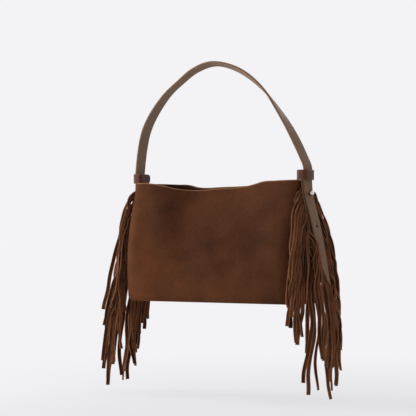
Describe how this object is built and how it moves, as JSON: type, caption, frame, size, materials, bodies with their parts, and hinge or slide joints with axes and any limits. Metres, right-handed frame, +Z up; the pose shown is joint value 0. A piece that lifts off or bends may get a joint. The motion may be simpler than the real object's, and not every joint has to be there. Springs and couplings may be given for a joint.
{
  "type": "fringed shoulder bag",
  "caption": "Soft suede shoulder bag with an open dipped mouth, a leather shoulder strap buttoned to end tabs on ball studs, and long cut fringe falling from both ends",
  "frame": {"origin": "Middle of the underside of the base", "axes": "+X along the bag's width, -Y out of its front, +Z up through the strap's arch"},
  "size_m": [0.4532, 0.128, 0.5823],
  "materials": {
    "suede": "brushed suede nap",
    "fringe_suede": "cut suede strips",
    "strap_leather": "smooth satin",
    "keeper_leather": "smooth semi-gloss",
    "lining": "plain woven",
    "board": "pressed fibre",
    "nickel": "polished"
  },
  "bodies": {
    "root": {"suede_wrap": "suede", "gusset_left": "suede", "gusset_right": "suede", "base_board": "board", "lining": "lining", "mouth_facing": "suede", "snap_socket": "nickel", "snap_nose": "nickel", "strap": "strap_leather", "tab_left": "strap_leather", "tab_right": "strap_leather", "keeper_left": "keeper_leather", "keeper_right": "keeper_leather", "stud_left": "nickel", "stud_right": "nickel", "stud_screw_left": "nickel", "stud_screw_right": "nickel", "fringe_front_left": "fringe_suede", "fringe_back_left": "fringe_suede", "fringe_front_right": "fringe_suede", "fringe_back_right": "fringe_suede"}
  },
  "joints": []
}
